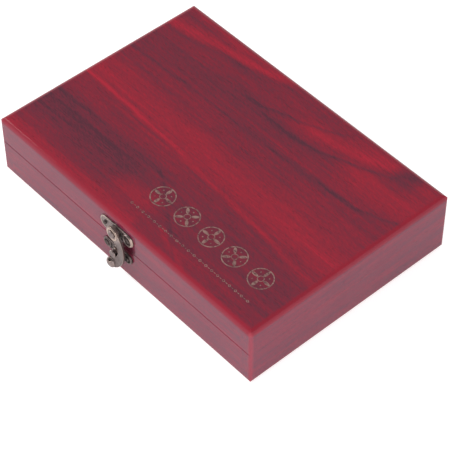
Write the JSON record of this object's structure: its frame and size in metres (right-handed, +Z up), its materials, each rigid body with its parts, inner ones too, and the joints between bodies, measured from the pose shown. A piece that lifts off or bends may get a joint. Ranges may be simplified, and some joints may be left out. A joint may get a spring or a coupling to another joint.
{
  "type": "coin display case",
  "caption": "Flat wooden presentation case with a hinged lid, a swing-hook catch and a flocked tray that seats round clear coin capsules.",
  "frame": {"origin": "centre of the case's underside, on the surface that it rests on", "axes": "+X along the 225 mm length, to the right seen from the front; -Y out of the front, where the catch is; +Z up"},
  "size_m": [0.225, 0.1663, 0.045],
  "materials": {
    "lacquered_wood": "deep red gloss lacquer over running grain",
    "antique_brass": "antique bronze plating worn bright on the raised rims",
    "flocked_tray": "short dark red flock",
    "lining_fabric": "soft dark red plush",
    "clear_capsule": "clear polished polystyrene"
  },
  "bodies": {
    "base": {"base_back_wall": "lacquered_wood", "base_front_wall": "lacquered_wood", "base_hinge_screws": "antique_brass", "base_left_wall": "lacquered_wood", "base_right_wall": "lacquered_wood", "bottom_panel": "lacquered_wood", "capsule_tray": "flocked_tray", "keeper_nails": "antique_brass", "keeper_plate": "antique_brass", "keeper_stud": "antique_brass", "left_hinge_base_leaf": "antique_brass", "left_hinge_pin": "antique_brass", "right_hinge_base_leaf": "antique_brass", "right_hinge_pin": "antique_brass", "tray_riser": "flocked_tray"},
    "lid": {"hook_rivet": "antique_brass", "latch_nails": "antique_brass", "latch_plate": "antique_brass", "left_hinge_lid_leaf": "antique_brass", "lid_back_wall": "lacquered_wood", "lid_front_wall": "lacquered_wood", "lid_hinge_screws": "antique_brass", "lid_left_wall": "lacquered_wood", "lid_lining": "lining_fabric", "lid_panel": "lacquered_wood", "lid_right_wall": "lacquered_wood", "right_hinge_lid_leaf": "antique_brass"},
    "hook": {"latch_hook": "antique_brass"},
    "capsule_01": {"capsule_bottom_01": "clear_capsule"},
    "capsule_01_cap": {"capsule_top_01": "clear_capsule"},
    "capsule_02": {"capsule_bottom_02": "clear_capsule"},
    "capsule_02_cap": {"capsule_top_02": "clear_capsule"},
    "capsule_03": {"capsule_bottom_03": "clear_capsule"},
    "capsule_03_cap": {"capsule_top_03": "clear_capsule"},
    "capsule_04": {"capsule_bottom_04": "clear_capsule"},
    "capsule_04_cap": {"capsule_top_04": "clear_capsule"},
    "capsule_05": {"capsule_bottom_05": "clear_capsule"},
    "capsule_05_cap": {"capsule_top_05": "clear_capsule"},
    "capsule_06": {"capsule_bottom_06": "clear_capsule"},
    "capsule_06_cap": {"capsule_top_06": "clear_capsule"},
    "capsule_07": {"capsule_bottom_07": "clear_capsule"},
    "capsule_07_cap": {"capsule_top_07": "clear_capsule"},
    "capsule_08": {"capsule_bottom_08": "clear_capsule"},
    "capsule_08_cap": {"capsule_top_08": "clear_capsule"},
    "capsule_09": {"capsule_bottom_09": "clear_capsule"},
    "capsule_09_cap": {"capsule_top_09": "clear_capsule"},
    "capsule_10": {"capsule_bottom_10": "clear_capsule"},
    "capsule_10_cap": {"capsule_top_10": "clear_capsule"},
    "capsule_11": {"capsule_bottom_11": "clear_capsule"},
    "capsule_11_cap": {"capsule_top_11": "clear_capsule"},
    "capsule_12": {"capsule_bottom_12": "clear_capsule"},
    "capsule_12_cap": {"capsule_top_12": "clear_capsule"},
    "capsule_13": {"capsule_bottom_13": "clear_capsule"},
    "capsule_13_cap": {"capsule_top_13": "clear_capsule"},
    "capsule_14": {"capsule_bottom_14": "clear_capsule"},
    "capsule_14_cap": {"capsule_top_14": "clear_capsule"},
    "capsule_15": {"capsule_bottom_15": "clear_capsule"},
    "capsule_15_cap": {"capsule_top_15": "clear_capsule"}
  },
  "joints": [
    {"name": "lid_open", "type": "hinge", "parent": "base", "child": "lid", "pos_m": [0, 0.08, 0.02552], "axis": [-1, 0, 0], "range_deg": [0, 180]},
    {"name": "hook_swing", "type": "hinge", "parent": "lid", "child": "hook", "pos_m": [-0.0016, -0.0775, 0.0349], "axis": [0, -1, 0], "range_deg": [0, 100]},
    {"name": "capsule_01_lift", "type": "slide", "parent": "base", "child": "capsule_01", "axis": [0, 0, 1], "range_m": [0, 0.006]},
    {"name": "capsule_01_open", "type": "slide", "parent": "capsule_01", "child": "capsule_01_cap", "axis": [0, 0, 1], "range_m": [0, 0.004]},
    {"name": "capsule_02_lift", "type": "slide", "parent": "base", "child": "capsule_02", "axis": [0, 0, 1], "range_m": [0, 0.006]},
    {"name": "capsule_02_open", "type": "slide", "parent": "capsule_02", "child": "capsule_02_cap", "axis": [0, 0, 1], "range_m": [0, 0.004]},
    {"name": "capsule_03_lift", "type": "slide", "parent": "base", "child": "capsule_03", "axis": [0, 0, 1], "range_m": [0, 0.006]},
    {"name": "capsule_03_open", "type": "slide", "parent": "capsule_03", "child": "capsule_03_cap", "axis": [0, 0, 1], "range_m": [0, 0.004]},
    {"name": "capsule_04_lift", "type": "slide", "parent": "base", "child": "capsule_04", "axis": [0, 0, 1], "range_m": [0, 0.006]},
    {"name": "capsule_04_open", "type": "slide", "parent": "capsule_04", "child": "capsule_04_cap", "axis": [0, 0, 1], "range_m": [0, 0.004]},
    {"name": "capsule_05_lift", "type": "slide", "parent": "base", "child": "capsule_05", "axis": [0, 0, 1], "range_m": [0, 0.006]},
    {"name": "capsule_05_open", "type": "slide", "parent": "capsule_05", "child": "capsule_05_cap", "axis": [0, 0, 1], "range_m": [0, 0.004]},
    {"name": "capsule_06_lift", "type": "slide", "parent": "base", "child": "capsule_06", "axis": [0, 0, 1], "range_m": [0, 0.006]},
    {"name": "capsule_06_open", "type": "slide", "parent": "capsule_06", "child": "capsule_06_cap", "axis": [0, 0, 1], "range_m": [0, 0.004]},
    {"name": "capsule_07_lift", "type": "slide", "parent": "base", "child": "capsule_07", "axis": [0, 0, 1], "range_m": [0, 0.006]},
    {"name": "capsule_07_open", "type": "slide", "parent": "capsule_07", "child": "capsule_07_cap", "axis": [0, 0, 1], "range_m": [0, 0.004]},
    {"name": "capsule_08_lift", "type": "slide", "parent": "base", "child": "capsule_08", "axis": [0, 0, 1], "range_m": [0, 0.006]},
    {"name": "capsule_08_open", "type": "slide", "parent": "capsule_08", "child": "capsule_08_cap", "axis": [0, 0, 1], "range_m": [0, 0.004]},
    {"name": "capsule_09_lift", "type": "slide", "parent": "base", "child": "capsule_09", "axis": [0, 0, 1], "range_m": [0, 0.006]},
    {"name": "capsule_09_open", "type": "slide", "parent": "capsule_09", "child": "capsule_09_cap", "axis": [0, 0, 1], "range_m": [0, 0.004]},
    {"name": "capsule_10_lift", "type": "slide", "parent": "base", "child": "capsule_10", "axis": [0, 0, 1], "range_m": [0, 0.006]},
    {"name": "capsule_10_open", "type": "slide", "parent": "capsule_10", "child": "capsule_10_cap", "axis": [0, 0, 1], "range_m": [0, 0.004]},
    {"name": "capsule_11_lift", "type": "slide", "parent": "base", "child": "capsule_11", "axis": [0, 0, 1], "range_m": [0, 0.006]},
    {"name": "capsule_11_open", "type": "slide", "parent": "capsule_11", "child": "capsule_11_cap", "axis": [0, 0, 1], "range_m": [0, 0.004]},
    {"name": "capsule_12_lift", "type": "slide", "parent": "base", "child": "capsule_12", "axis": [0, 0, 1], "range_m": [0, 0.006]},
    {"name": "capsule_12_open", "type": "slide", "parent": "capsule_12", "child": "capsule_12_cap", "axis": [0, 0, 1], "range_m": [0, 0.004]},
    {"name": "capsule_13_lift", "type": "slide", "parent": "base", "child": "capsule_13", "axis": [0, 0, 1], "range_m": [0, 0.006]},
    {"name": "capsule_13_open", "type": "slide", "parent": "capsule_13", "child": "capsule_13_cap", "axis": [0, 0, 1], "range_m": [0, 0.004]},
    {"name": "capsule_14_lift", "type": "slide", "parent": "base", "child": "capsule_14", "axis": [0, 0, 1], "range_m": [0, 0.006]},
    {"name": "capsule_14_open", "type": "slide", "parent": "capsule_14", "child": "capsule_14_cap", "axis": [0, 0, 1], "range_m": [0, 0.004]},
    {"name": "capsule_15_lift", "type": "slide", "parent": "base", "child": "capsule_15", "axis": [0, 0, 1], "range_m": [0, 0.006]},
    {"name": "capsule_15_open", "type": "slide", "parent": "capsule_15", "child": "capsule_15_cap", "axis": [0, 0, 1], "range_m": [0, 0.004]}
  ]
}
